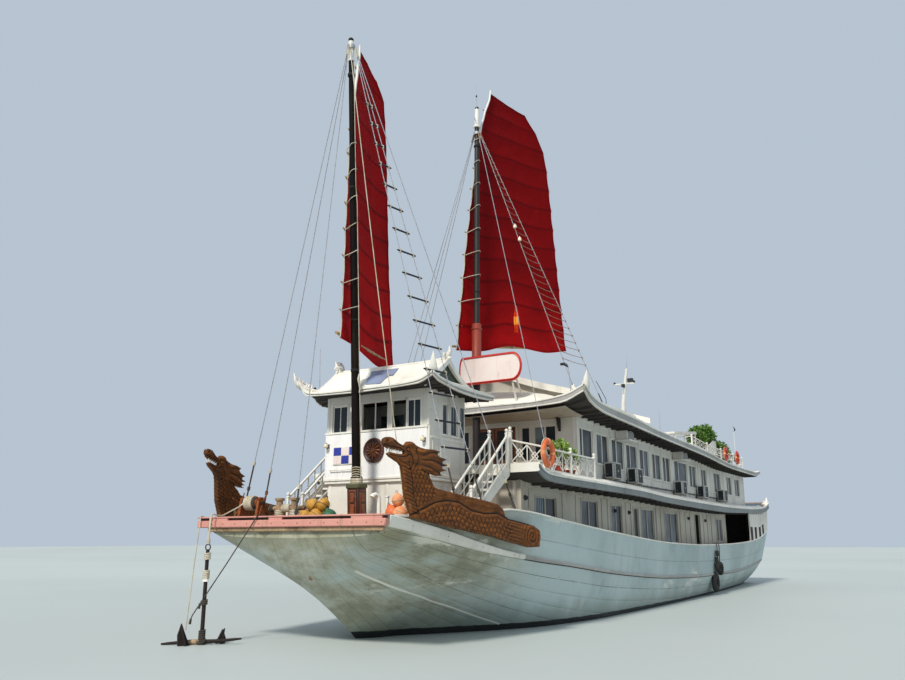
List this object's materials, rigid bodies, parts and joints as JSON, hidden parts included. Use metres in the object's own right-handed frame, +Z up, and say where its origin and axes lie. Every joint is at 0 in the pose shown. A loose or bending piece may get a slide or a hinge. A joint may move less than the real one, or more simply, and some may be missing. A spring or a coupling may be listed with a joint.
{
  "type": "motor junk cruise boat",
  "caption": "Wooden motor junk with raked bow, carved dragons, wheelhouse, deckhouses under upturned roofs, battened sails, rudder and propeller.",
  "frame": {"origin": "on the waterline amidships, on the centreline", "axes": "+X forward to the bow, +Y to port, +Z up"},
  "size_m": [39.87, 8.06, 20.5235],
  "materials": {
    "anchor_iron": "rusty iron",
    "bare_wood": "weathered bare wood",
    "bronze": "cast bronze",
    "buoy_orange": "faded orange",
    "carved_wood": "varnished carved wood",
    "hull_paint": "weathered white oil paint over planks",
    "mast_paint": "near-black tarred wood",
    "pink_paint": "faded pink-red paint",
    "red_paint": "dark red paint with gold bands",
    "rigging_wire": "galvanised wire",
    "roof_paint": "cream-white roof paint",
    "rope": "laid rope",
    "sail_cloth": "crimson sailcloth",
    "sign_paint": "red paint",
    "spar_wood": "dark varnished spar",
    "trim_paint": "white gloss paint, worn",
    "unit_paint": "white powder coat",
    "varnished_wood": "varnished wood",
    "wall_paint": "off-white paint on boards"
  },
  "bodies": {
    "hull_body": {"ac_units_port": "unit_paint", "ac_units_starboard": "unit_paint", "anchor": "anchor_iron", "anchor_rope": "rope", "antenna_mast": "trim_paint", "bow_beam": "pink_paint", "bulwark_port": "hull_paint", "bulwark_starboard": "hull_paint", "bulwark_stern": "hull_paint", "dragon_port": "carved_wood", "dragon_starboard": "carved_wood", "foremast": "mast_paint", "foremast_stays": "rigging_wire", "helm_stand": "varnished_wood", "hull": "hull_paint", "lifebuoy_terrace": "buoy_orange", "lower_wall_aft": "wall_paint", "lower_wall_front": "wall_paint", "lower_wall_port": "wall_paint", "lower_wall_starboard": "wall_paint", "mainmast": "mast_paint", "mainmast_stays": "rigging_wire", "mast_tabernacle": "red_paint", "mooring_bitts": "bare_wood", "quarter_panel_port": "wall_paint", "quarter_panel_starboard": "wall_paint", "rub_strake_port": "trim_paint", "rub_strake_starboard": "trim_paint", "sign_board": "sign_paint", "stairs_port": "trim_paint", "stairs_starboard": "trim_paint", "sundeck_rail": "trim_paint", "terrace_rail_port": "trim_paint", "terrace_rail_starboard": "trim_paint", "upper_deck": "roof_paint", "upper_roof": "roof_paint", "upper_wall_aft": "wall_paint", "upper_wall_front": "wall_paint", "upper_wall_port": "wall_paint", "upper_wall_starboard": "wall_paint", "wheelhouse_aft": "wall_paint", "wheelhouse_base": "wall_paint", "wheelhouse_front": "wall_paint", "wheelhouse_port": "wall_paint", "wheelhouse_roof": "roof_paint", "wheelhouse_starboard": "wall_paint"},
    "foresail_rig": {"foresail": "sail_cloth", "foresail_boom": "spar_wood"},
    "mainsail_rig": {"mainsail": "sail_cloth", "mainsail_boom": "spar_wood"},
    "rudder_body": {"rudder": "hull_paint"},
    "propeller_body": {"propeller": "bronze"},
    "helm": {"helm_wheel": "varnished_wood"},
    "wheelhouse_door_leaf": {"wheelhouse_door": "varnished_wood"},
    "lower_door_port_leaf": {"lower_door_port": "varnished_wood"},
    "lower_door_starboard_leaf": {"lower_door_starboard": "varnished_wood"},
    "cabin_door_port_leaf": {"cabin_door_port": "varnished_wood"},
    "cabin_door_starboard_leaf": {"cabin_door_starboard": "varnished_wood"}
  },
  "joints": [
    {"name": "foresail_swing", "type": "hinge", "parent": "hull_body", "child": "foresail_rig", "pos_m": [17.52, 0, 2.8205], "axis": [0.0663, 0, 0.9978], "range_deg": [-60, 22]},
    {"name": "mainsail_swing", "type": "hinge", "parent": "hull_body", "child": "mainsail_rig", "pos_m": [11.25, 0, 4.185], "axis": [-0.0175, 0, 0.9998], "range_deg": [-25, 40]},
    {"name": "rudder_turn", "type": "hinge", "parent": "hull_body", "child": "rudder_body", "pos_m": [-15.85, 0, -0.9], "axis": [0, 0, 1], "range_deg": [-35, 35]},
    {"name": "propeller_spin", "type": "hinge", "parent": "hull_body", "child": "propeller_body", "pos_m": [-15.05, 0, -0.98], "axis": [1, 0, 0], "continuous": true},
    {"name": "helm_turn", "type": "hinge", "parent": "hull_body", "child": "helm", "pos_m": [16.28, 0, 5.02], "axis": [1, 0, 0], "range_deg": [-355, 355]},
    {"name": "wheelhouse_door_swing", "type": "hinge", "parent": "hull_body", "child": "wheelhouse_door_leaf", "pos_m": [15.165, -1.745, 5], "axis": [0, 0, 1], "range_deg": [-100, 0]},
    {"name": "lower_door_port_swing", "type": "hinge", "parent": "hull_body", "child": "lower_door_port_leaf", "pos_m": [-4.12, 3.048, 2.6], "axis": [0, 0, 1], "range_deg": [0, 90]},
    {"name": "lower_door_starboard_swing", "type": "hinge", "parent": "hull_body", "child": "lower_door_starboard_leaf", "pos_m": [-4.12, -3.048, 2.6], "axis": [0, 0, 1], "range_deg": [-90, 0]},
    {"name": "cabin_door_port_swing", "type": "hinge", "parent": "hull_body", "child": "cabin_door_port_leaf", "pos_m": [9.945, 0.81, 5.2], "axis": [0, 0, 1], "range_deg": [0, 105]},
    {"name": "cabin_door_starboard_swing", "type": "hinge", "parent": "hull_body", "child": "cabin_door_starboard_leaf", "pos_m": [9.945, -0.81, 5.2], "axis": [0, 0, 1], "range_deg": [-105, 0]}
  ],
  "couplings": [
    {"joint": "helm_turn", "follows": "rudder_turn", "ratio": -10}
  ]
}
